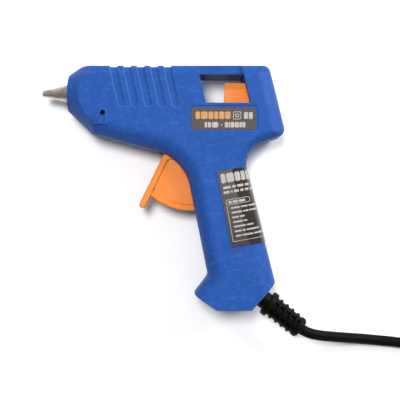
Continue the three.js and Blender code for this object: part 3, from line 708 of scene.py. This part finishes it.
def finishes():
    """Every material, by the name of the slot it is for; the carriage shares the trigger's slot, and its
    orange is a brighter copy with painted light.
    """
    return {
        # The second, much lighter blue paints scuffing together with painted sheen spots and a painted edge
        # highlight.
        "housing_blue": moulded(
            "blue_plastic", (0.0145, 0.063, 0.262), (0.07, 0.18, 0.46), 0.48, scuff_and_sheen_amount=0.5, gloss=0.12),
        "trigger_orange": orange_plastic("orange_plastic", (0.7, 0.195, 0.022)),
        "carriage_orange_painted_light": orange_plastic("orange_plastic_painted_lighter", (0.9, 0.285, 0.05)),  # brighter copy of the trigger's orange: painted light, making up for the shade the window's bar casts on the carriage
        "relief_black": moulded(
            "black_rubber", (0.004, 0.0032, 0.0027), (0.012, 0.009, 0.007), 0.46, edge=0.15, gloss=0.06),
        "cord_black": moulded(
            "cord_sheath", (0.003, 0.003, 0.003), (0.01, 0.009, 0.008), 0.5, depth=0.01, gloss=0.06),
        "silicone_red": moulded("red_silicone", (0.3, 0.05, 0.02), (0.4, 0.1, 0.06), 0.55),
        "heater_ceramic": moulded("white_ceramic", (0.7, 0.68, 0.62), (0.5, 0.47, 0.42), 0.7),
        "nozzle_steel": machined("nozzle_metal", (0.9, 0.81, 0.74), (0.5, 0.4, 0.34), 0.5, (0.3, 3, 3)),
        "steel": machined("zinc_steel", (0.6, 0.6, 0.62), (0.4, 0.39, 0.38), 0.3, (1, 1, 1)),
        "chamber_aluminium": machined("cast_aluminium", (0.7, 0.71, 0.73), (0.5, 0.5, 0.5), 0.42, (2, 1, 1)),
        "pin_brass": machined("pin_brass", (0.78, 0.58, 0.28), (0.5, 0.34, 0.14), 0.26, (3, 1, 3)),
        "label_grey": film("grey_film", (0.026, 0.014, 0.012), (0.045, 0.03, 0.026), 0.22, 0.03, coat=0),
        "label_black": film(
            "black_film", (0.014, 0.008, 0.006), (0.028, 0.018, 0.014), 0.14, 0.03, coat=0.05),
        "ink_white": film("white_ink", (0.34, 0.32, 0.3), (0.22, 0.2, 0.18), 0.35, 0.01, coat=0.3),
        "ink_orange": film("orange_ink", (0.45, 0.2, 0.05), (0.32, 0.14, 0.04), 0.35, 0.01, coat=0.3),
    }


def settle(shape, name, body, finish, replaced):
    """Names a finished shape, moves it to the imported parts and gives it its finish."""
    shape.name = name
    shape.data.name = name
    shape.data.transform(PLACE)
    shape.data.materials.clear()
    shape.data.materials.append(finish)
    shape.data.shade_smooth()
    shape.data.set_sharp_from_angle(angle=SHARP)
    even = shape.modifiers.new("even_normals", "WEIGHTED_NORMAL")
    even.keep_sharp = True
    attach(shape, body)
    if replaced:
        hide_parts(*replaced)
    return shape


# ---------------------------------------------------------------- pieces
def housing_shells(finish):
    """The housing parted at the seam plane; the posts for the cord clamp stand on the right shell."""
    whole = housing()
    posts = [rod(*cord_clamp_post(side), 2.2, -12.4, 2.9) for side in (1, -1)]
    holes = [rod(*cord_clamp_post(side), 1.15, -8, 4, 24) for side in (1, -1)]
    left = keep(copy_of(whole), box(-99, 99, -99, 99, SEAM, 30))
    right = keep(whole, box(-99, 99, -99, 99, -30, -SEAM))
    right = add(right, *[cut(post, hole) for post, hole in zip(posts, holes)])
    settle(left, "left_shell", "root", finish, ["left_housing"])
    settle(right, "right_shell", "root", finish, ["right_housing"])


def nozzle(finish):
    """Turned tip with six short guide fins round its base."""
    profile = [
        (TIP_X + 0.35, 1.7), (TIP_X + 5, 2.55), (TIP_X + 9.2, 3.65), (TIP_X + 12.6, 4.25), (-63.3, 4.25),
        (-62.9, 4.0), (-62.9, 3.3), (-56.2, 3.3), (-56.2, 1.9), (TIP_X + 3, 1.9), (TIP_X + 2, 0.9),
        (TIP_X + 0.2, 0.9), (TIP_X, 1.05), (TIP_X, 1.4),
    ]
    tip = turned(profile, 96)
    for index in range(6):
        start = TIP_X + (5.6 if index % 2 else 8.1)
        fin = prism([
            (start, 2), (start + 0.6, 2.9), (TIP_X + 12.6, 4.6), (-65.4, 4.75), (-64.8, 4.2), (-64.8, 2),
        ], -0.38, 0.38)
        tip = add(tip, moved(fin, Matrix.Rotation(math.radians(30 + 60 * index), 4, "X")))
    moved(tip, Matrix.Translation((0, AXIS_Y, 0)))
    settle(tip, "nozzle_tip", "root", finish, ["nozzle"])


def polar(radius, degrees_from_down):
    """A point about the trigger's pivot."""
    angle = math.radians(degrees_from_down)
    return PIVOT + Vector((math.sin(angle), -math.cos(angle))) * radius


def swept(radius, start, end):
    """Points on an arc about the trigger's pivot."""
    steps = 40
    return [polar(radius, start + (end - start) * step / steps) for step in range(steps + 1)]


def arc_band(inner, outer, start, end):
    """Outline of a curved bar about the trigger's pivot."""
    return swept(outer, start, end) + swept(inner, start, end)[::-1]


def trigger(finish):
    """A lever with a web set in between rounded ribs, and two cheeks slotted for the feed pin."""
    half, arc, rib, lean = TRIGGER["half"], TRIGGER["arc"], TRIGGER["rib"], TRIGGER["lean"]
    top, tip = (-16.9, 21.2), (-28.5, -2.4)
    web = prism([PIVOT, Vector(top), *swept(arc - 1, -41, 17)], -TRIGGER["web"], TRIGGER["web"])
    body = add(
        soft_prism(pill(top, tip, rib), -half, half, 0.9),
        soft_prism(pill(top, PIVOT, rib), -half, half, 0.5),
        soft_prism(arc_band(arc - rib, arc, -43, 17), -half, half, 0.9),
        soft_prism(pill(PIVOT, polar(arc - rib / 2, 15.6), 2.6), -half, half, 0.5),
        rod(PIVOT.x, PIVOT.y, 4.2, -half, half, 64), web)
    cheek = soft_prism(pill(polar(2, 180 - lean), polar(17.2, 180 - lean), 7.4), half - 1.6, half, 0.3)
    body = add(body, mirrored(cheek))
    marks = []
    for x, y in ((-18.1, 5.7), (-7.6, 14.5), (-3.8, 1.2)):  # where the ejector pins pressed
        ring = cut(rod(x, y, 1.75, 3.42, 6, 48), rod(x, y, 1.55, 3, 7, 48))
        marks.append(mirrored(ring))
    body = cut(
        body, soft_prism(pill(polar(16.4, 180 - lean), polar(26, 180 - lean), 3.8), -6, 6, 0.1),
        rod(PIVOT.x, PIVOT.y, PIVOT_PIN + 0.3, -6, 6), *marks)
    settle(body, "trigger_lever", "trigger", finish, ["trigger"])


def feed_carriage(finish):
    """Octagon above, square and finely ribbed below, with a keel and a leg down to the trigger."""
    x0, x1, half = CARRIAGE["x0"], CARRIAGE["x1"], CARRIAGE["half"]
    shoulder, top = CARRIAGE["shoulder"], CARRIAGE["top"]
    ribs, rib_low = 9, -half + 0.3
    pitch = (shoulder - rib_low) / ribs
    side = []
    for index in range(ribs):
        base = rib_low + pitch * index
        side += [(half - 0.14, base), (half, base + 0.12)]
        side += [(half, base + pitch - 0.16), (half - 0.14, base + pitch - 0.04)]
    section = [(-1.6, top), (-half + 0.1, shoulder + 0.05)]
    section += [(-z, y) for z, y in reversed(side)]
    section += [(-half + 0.3, -half), (half - 0.3, -half)]
    section += side
    section += [(half - 0.1, shoulder + 0.05), (1.6, top)]
    block = soft_prism(section, x0, x1, 0.12, 3)
    # The section's first number runs along Z and its second along Y, and its length along X.
    turn = Matrix(((0, 0, 1, 0), (0, 1, 0, AXIS_Y), (1, 0, 0, 0), (0, 0, 0, 1)))
    moved(block, turn)
    keel = box(x0 + 1, 31.5, KEEL["bottom"], AXIS_Y - half + 0.5, -KEEL["half"], KEEL["half"])
    heel = box(13.3, 18, LEG["y0"], KEEL["bottom"] + 1, -LEG["half"], LEG["half"])
    leg = soft_prism([
        (LEG["x0"], LEG["y0"]), (LEG["x0"], LEG["y1"]), (15, LEG["y1"]), (15, LEG["y0"]),
    ], -LEG["half"], LEG["half"], 0.3)
    pin = polar(TRIGGER["pin"], 180 - TRIGGER["lean"])
    body = cut(
        add(block, keel, heel, leg), barrel_bore(x0 - 1, x1 + 1, STICK_R + 0.2),
        box(20.6, 31.4, KEEL["bottom"] - 1, AXIS_Y - 3, -1.75, 1.75),
        rod(pin.x, pin.y, 1.8, -4, 4), rod(JAW.x, JAW.y, 1.25, -4, 4))
    settle(body, "carriage_slider", "carriage", finish, ["feed_carriage"])


def printed(plate, marks, name, film_finish, ink_finishes, replaced):
    """A label with raised ink: marks is a list of shapes, and ink_finishes the finish of each."""
    settle(plate, name, "root", film_finish, replaced)
    for index, (mark, ink) in enumerate(zip(marks, ink_finishes)):
        settle(mark, f"{name}_print_{index}", "root", ink, [])


def row_of_blocks(x, y, height, widths, gap, z0, z1):
    """Plain printed blocks side by side, standing in for wording."""
    blocks = []
    for width in widths:
        outline = rounded_box_outline(x, x + width, y, y + height, min(width, height) * 0.25, 3)
        blocks.append(prism(outline, z0, z1))
        x += width + gap
    return add(*blocks) if len(blocks) > 1 else blocks[0]


def printed_frame(outside, inside, z0, z1):
    """An outlined box with round corners; both outlines are given as for rounded_box_outline."""
    hole = prism(rounded_box_outline(*inside), z0 - 1, z1 + 1)
    return cut(prism(rounded_box_outline(*outside), z0, z1), hole)


def side_label(looks):
    """A film in the side's recess, with a row of plain blocks, two rings and a row of smaller blocks."""
    floor = HALF - LABEL_RECESS["depth"] + 0.05
    top = floor + SIDE_LABEL["thick"]
    plate = prism(rounded_box_outline(*SIDE_LABEL["box"], SIDE_LABEL["corner"], 4), floor, top)
    low, high = top - 0.05, top + 0.02
    orange = row_of_blocks(-2.1, 39.2, 3.6, (2.1, 3.3, 2.4, 1.9, 2.6, 2.6), 0.4, low, high)
    white = add(
        printed_frame((16, 19.9, 39, 42.8, 0.5, 4), (16.3, 19.6, 39.3, 42.5, 0.4, 4), low, high),
        printed_frame((17, 18.9, 40, 41.8, 0.5, 4), (17.4, 18.5, 40.4, 41.4, 0.3, 4), low, high),
        row_of_blocks(21.3, 39.2, 3.3, (1.9, 1.9), 0.4, low, high),
        row_of_blocks(2.3, 35.1, 2.6, (1.1, 1.6, 3), 0.4, low, high),
        row_of_blocks(10, 36.1, 0.5, (0.9,), 0.5, low, high),
        row_of_blocks(12, 35.1, 2.6, (1.6, 0.7, 1.8, 1.9, 1.3, 1.4), 0.25, low, high))
    printed(plate, [orange, white], "side_label_film", looks["label_grey"],
            [looks["ink_orange"], looks["ink_white"]], ["side_label"])


def handle_label(looks):
    """A wrap-round film on the handle, with plain blocks and ruled lines printed on it."""
    band = prism([(8.1, 13.5), (15.4, 15.2), (27, 16.6), (38, -19.6), (15.4, -23)], -8, 30)
    plate = keep(cut(closed_form(0.35), closed_form(0.15)), band)
    low, high = 8, 30
    rows = [
        (1.4, -5.9, 4.5, (2.2, 3.7, 2.6, 2.0, 2.6, 2.6), 0.45),
        (1.6, -8.8, 1.2, (3.9, 1.6, 3.2, 2.0, 2.4), 0.7),
        (1.5, -11.1, 1.2, (3.0, 0.7, 2.4, 1.6, 1.8, 2.4), 0.7),
    ]
    fine_print = (
        (4.4, 3.4, 4.6), (5.2, 2.6, 4.8), (3.2, 2.4), (4.6, 1.8), (5.8, 3.4), (3.4, 1.4, 6.2),
        (2.8, 5.4, 4.2))
    for index, widths in enumerate(fine_print):
        rows.append((3.6, -18.8 - 2.28 * index, 0.8, widths, 0.5))
    blocks = [row_of_blocks(x, y, height, widths, gap, low, high) for x, y, height, widths, gap in rows]
    rules = [
        printed_frame((1.8, 13.7, -16.8, -14.1, 0.9, 5), (2.05, 13.45, -16.55, -14.35, 0.7, 5), low, high),
        row_of_blocks(3, -16.1, 1.2, (1.6, 2.6, 3.2), 0.4, low, high),
        box(1.85, 2.1, -34.4, -16.9, low, high), box(1.85, 20, -34.65, -34.4, low, high),
    ]
    start = Matrix.Translation((8.1, 13.5, 0)) @ Matrix.Rotation(math.radians(10), 4, "Z")
    marks = moved(add(*blocks, *rules), start)
    print_area = prism([(8.5, 13.0), (15.5, 14.7), (26.5, 16.1), (37.4, -19.2), (15.6, -22.5)], -7.5, 30)
    ink = keep(cut(closed_form(0.38), closed_form(0.3)), marks, print_area)
    printed(plate, [ink], "handle_label_film", looks["label_black"],
            [looks["ink_white"]], ["handle_label"])


def outlet_at(s):
    """A point on the axis of the cord outlet, s outwards from the handle's end."""
    return (OUTLET.x + s * math.cos(OUTLET_ANGLE), OUTLET.y + s * math.sin(OUTLET_ANGLE), 0)


def strain_relief(finish):
    """Collar, flange, four rings and an end ring, joined by bars with open windows between them."""
    rings = [9.6 + 3.5 * index for index in range(4)]
    rows = [(-3.7, 5.4), (-2.4, 5.4), (-2.4, 4.4), (0, 4.4), (0.3, 4.5), (4.6, 4.5), (4.8, 4.7)]
    rows += [(4.8, 6.3), (5, 6.5), (7.2, 6.5), (7.4, 6.3), (7.5, 3.3)]
    for index, s in enumerate(rings):
        r = 5.8 - 0.06 * index
        rows += [(s - 0.1, 3.3), (s, r - 0.3), (s + 0.25, r)]
        rows += [(s + 0.85, r), (s + 1.1, r - 0.3), (s + 1.2, 3.3)]
    rows += [(22.9, 3.3), (23, 5), (23.3, 5.25), (25, 5.3), (25.6, 4.9), (25.9, 4.4)]
    rows += [(25.9, 2.95), (-3.7, 2.95)]
    body = turned(rows, 80)
    gap_starts = [7.4] + [s + 1 for s in rings]
    gap_ends = [s + 0.1 for s in rings] + [23.1]
    for index, (start, end) in enumerate(zip(gap_starts, gap_ends)):
        reach = 5 - 0.06 * index
        side_bar = box(start - 1, end + 1, 3.1, 9, -9, 9)
        front_bar = box(start - 1, end + 1, -1.2, -0.2, 0, 9)
        twins = [moved(copy_of(bar), Matrix.Rotation(math.pi, 4, "X")) for bar in (side_bar, front_bar)]
        gap = turned([(start, reach), (end, reach)], 80, bored=False)
        body = add(body, keep(gap, add(side_bar, front_bar, *twins)))
    body = cut(body, turned([(-9, 2.95), (29, 2.95)], 40, bored=False))
    body = along_outlet(body)
    return settle(body, "strain_relief_sleeve", "root", finish, ["strain_relief"])


ON_FLOOR = FLOOR_Z + CORD_D / 2 + 0.02  # height of the cord's middle line where it lies on the table
# That middle line, from the clamp in the handle to the start of the coil.
CORD_ROUTE = [
    outlet_at(-16), outlet_at(-8), outlet_at(0), outlet_at(9), outlet_at(18), outlet_at(25.5),
    (54.2, -66.4, -0.3), (59.6, -67.8, -1.2), (66.2, -68.8, -3.2), (73.4, -69.8, -5.9),
    (80.8, -70.7, -8.5), (88.4, -71.6, -10.15), (97, -72.5, ON_FLOOR), (107, -73.6, ON_FLOOR),
    (118, -74.3, ON_FLOOR), (128.5, -74.55, ON_FLOOR),
]


def coil_path():
    """Inwards in the lower layer, up over half a turn, and outwards again in the upper layer."""
    per_turn = 72
    steps = round(COIL["turns"] * per_turn)
    lower = FLOOR_Z + COIL["lift"] + CORD_D / 2
    points = []
    for step in range(steps + 1):
        turns = step / per_turn
        inward = min(turns, COIL["turns"] - turns)
        radius = COIL["outer"] - COIL["pitch"] * inward
        climb = min(max((turns - COIL["turns"] / 2) / 0.5 + 0.5, 0), 1)
        z = lower + (CORD_D + 0.1) * climb * climb * (3 - 2 * climb)
        angle = 2 * math.pi * turns - math.pi / 2
        points.append((COIL["x"] + radius * math.cos(angle), COIL["y"] + radius * math.sin(angle), z))
    return points


def smooth_path(points, spacing):
    """Points along a smooth curve through the given ones, about that far apart."""
    rows = [Vector(p) for p in points]
    ends = [rows[0] * 2 - rows[1], *rows, rows[-1] * 2 - rows[-2]]
    found = []
    for i in range(1, len(ends) - 2):
        p0, p1, p2, p3 = ends[i - 1:i + 3]
        t1 = (p1 - p0).length ** 0.5
        t2 = t1 + (p2 - p1).length ** 0.5
        t3 = t2 + (p3 - p2).length ** 0.5
        pieces = max(1, round((p2 - p1).length / spacing))
        for piece in range(pieces):
            t = t1 + (t2 - t1) * piece / pieces
            a1 = p0.lerp(p1, t / t1)
            a2 = p1.lerp(p2, (t - t1) / (t2 - t1))
            a3 = p2.lerp(p3, (t - t2) / (t3 - t2))
            b1 = a1.lerp(a2, t / t2)
            b2 = a2.lerp(a3, (t - t1) / (t3 - t1))
            found.append(b1.lerp(b2, (t - t1) / (t2 - t1)))
    return found + [rows[-1]]


def cord_points():
    """The route to the coil, the coil itself, and from its end a bend into the plug's sleeve."""
    coil = coil_path()
    last = Vector(coil[-1])
    heading = last - Vector(coil[-2])
    angle = math.atan2(heading.y, heading.x)
    straight = 5  # between the coil's end and the start of the bend
    radius = (PLUG["x"] - last.x - straight * math.cos(angle)) / (math.sin(angle) - 1)
    tail = []
    steps = 8
    for step in range(1, steps + 1):
        share = step / steps
        turn = angle + (math.pi / 2 - angle) * share
        x = last.x + straight * math.cos(angle) + radius * (math.sin(angle) - math.sin(turn))
        y = last.y + straight * math.sin(angle) + radius * (math.cos(turn) - math.cos(angle))
        tail.append((x, y, last.z + (PLUG["z"] - last.z) * share))
    tail += [(PLUG["x"], y, PLUG["z"]) for y in (11, 15, PLUG["y"] + 2)]
    return smooth_path(CORD_ROUTE + coil[::3] + tail, 1.6)


def power_cord(finish):
    """The mains cord in one piece; the pieces that ride on it are built on their own."""
    points = [PLACE @ p for p in cord_points()]
    cable = round_wire("mains_cord", points, CORD_D / 2, 6)
    cable.data.materials.append(finish)
    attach(cable, "root")
    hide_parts("power_cord", "power_cord_coil", "power_cord_tail")


def coil_tie(finish):
    """Releasable strap round the turns, on the side away from the gun."""
    reach = COIL["turns"] * COIL["pitch"] / 4 + CORD_D / 2
    middle = COIL["outer"] - COIL["turns"] * COIL["pitch"] / 4
    inner, outer = middle - reach - 0.3, middle + reach + 0.3
    low, high = FLOOR_Z + 0.05, FLOOR_Z + COIL["lift"] + 2 * CORD_D + 0.45
    loop = rounded_box_outline(inner - 0.45, outer + 0.45, low, high + 0.4, 2.6, 8)
    hollow = rounded_box_outline(inner, outer, low + 0.3, high, 2.2, 8)
    strap = cut(prism(loop, -2, 2), prism(hollow, -3, 3))
    buckle = rounded_box_outline(outer - 8, outer - 2.5, high - 0.1, high + 1.1, 0.4, 3)
    strap = add(strap, soft_prism(buckle, -2.6, 2.6, 0.3))
    upright = Matrix(((1, 0, 0, 0), (0, 0, -1, 0), (0, 1, 0, 0), (0, 0, 0, 1)))
    place = Matrix.Translation((COIL["x"], COIL["y"], 0)) @ Matrix.Rotation(math.radians(150), 4, "Z")
    return settle(moved(strap, place @ upright), "cord_tie", "root", finish, ["coil_tie"])


def plug(looks):
    """Flat two-pin plug with a ribbed sleeve, gripping scoops and part-sleeved pins."""
    x, y, z, length, half = PLUG["x"], PLUG["y"], PLUG["z"], PLUG["length"], PLUG["half"]
    outline = [
        (x - 5.5, y + 3), (x + 5.5, y + 3), (x + half - 3, y + 14), (x + half, y + 19), (x + half, y + 28),
        (x + half - 5, y + length), (x - half + 5, y + length), (x - half, y + 28), (x - half, y + 19),
        (x - half + 3, y + 14),
    ]
    body = soft_prism(rounded_corners(outline, 2.5), z - PLUG["thick"], z + PLUG["thick"], 2.2, 6)
    rows = [(y + 0.3, 3.6), (y + 0.3, 4.2), (y + 0.6, 4.6)]
    for index in range(2):
        s = y + 1.7 + 1.9 * index
        rows += [(s, 4.6), (s + 0.1, 3.9), (s + 0.8, 3.9), (s + 0.9, 4.6)]
    rows += [(y + 6.3, 4.6), (y + 6.3, 3.6)]
    upright = Matrix.Translation((x, 0, z)) @ Matrix.Rotation(math.pi / 2, 4, "Z")
    collar = moved(turned(rows, 56, bored=False), upright)
    body = add(body, collar)
    for side in (1, -1):
        for index in range(4):
            groove = turned([(-6, 0.7), (6, 0.7)], 16, bored=False)
            place = Matrix.Translation((x, y + 17.5 + 3 * index, z + side * PLUG["thick"]))
            body = cut(body, moved(groove, place))
        hole = turned([(y + length - 9, 2.3), (y + length + 1, 2.3)], 32, bored=False)
        place = Matrix.Translation((side * PLUG["gap"], 0, 0)) @ upright
        body = cut(body, moved(hole, place))
    shell = settle(body, "plug_shell", "root", looks["relief_black"], ["plug_body"])
    brass = looks["pin_brass"]
    pins = []
    for side, name in ((-1, "left"), (1, "right")):
        root, tip = y + length - 8.6, y + length + 19
        rows = [(root, 2), (tip - 1, 2), (tip - 0.4, 1.8), (tip - 0.1, 1.3), (tip, 0.6)]
        place = Matrix.Translation((side * PLUG["gap"], 0, 0)) @ upright
        pin = moved(turned(rows, 32, bored=False), place)
        pins.append(settle(pin, f"contact_pin_{name}", "root", brass, [f"plug_pin_{name}"]))
    return [shell, *pins]


def return_spring(finish):
    """Coil between a post of the housing and the carriage, made at one length and fixed to the housing."""
    x0, x1, y, radius = SPRING["x0"], SPRING["x1"], SPRING["y"], SPRING["radius"]
    per_turn = 24
    steps = SPRING["turns"] * per_turn
    points = []
    for step in range(steps + 1):
        angle = 2 * math.pi * step / per_turn
        along = x0 + (x1 - x0) * step / steps
        points.append(spot(along, y + radius * math.cos(angle), radius * math.sin(angle)))
    holder = round_wire("spring_wire", points, SPRING["wire"], 3)
    mesh = bpy.data.meshes.new_from_object(holder)
    bpy.data.objects.remove(holder)
    coil = put("return_spring_coil", mesh)
    mesh.materials.clear()
    mesh.materials.append(finish)
    mesh.shade_smooth()
    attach(coil, "root")
    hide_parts("return_spring")
    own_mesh(coil)


def inner_parts(looks):
    """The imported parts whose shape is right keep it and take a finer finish."""
    slots = {
        "nozzle_bush": "silicone_red", "melt_chamber": "chamber_aluminium", "ptc_heater": "heater_ceramic",
        "feed_sleeve": "silicone_red", "lead_wire_upper": "cord_black", "lead_wire_lower": "cord_black",
    }
    steel = [
        "heater_plate_upper", "heater_plate_lower", "sleeve_clamp", "trigger_pivot_pin", "feed_pin",
        "grip_jaw", "jaw_pin", "cord_clamp", "cord_clamp_screw_upper", "cord_clamp_screw_lower", *SCREWS,
    ]
    slots.update({name: "steel" for name in steel})
    for name, slot in slots.items():
        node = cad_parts[name]
        node.data.materials.clear()
        node.data.materials.append(looks[slot])


def table_top():
    """A pale matt table under the gun, which isn't part of it."""
    material, tree, shader, place = new_material("pale_table")
    tone = mix(tree, noise(tree, place, 60, 3), (0.86, 0.86, 0.86), (0.9, 0.9, 0.9))
    tree.links.new(tone, shader.inputs["Base Color"])
    shader.inputs["Roughness"].default_value = 0.7
    shader.inputs["Specular IOR Level"].default_value = 0.2
    size = 3000
    corners = [(-size, -size), (size, -size), (size, size), (-size, size)]
    floor = mesh_object([(x, y, FLOOR_Z) for x, y in corners], [(0, 1, 2, 3)])
    floor.name = "table_top"
    floor.data.transform(PLACE)
    floor.data.materials.append(material)


# ---------------------------------------------------------------- the whole
camera()
lighting()
looks = finishes()
plug_pieces = plug(looks)
tie = coil_tie(looks["relief_black"])
sleeve = strain_relief(looks["relief_black"])
power_cord(looks["cord_black"])
housing_shells(looks["housing_blue"])
nozzle(looks["nozzle_steel"])
trigger(looks["trigger_orange"])
feed_carriage(looks["carriage_orange_painted_light"])
side_label(looks)
handle_label(looks)
inner_parts(looks)
return_spring(looks["steel"])
table_top()
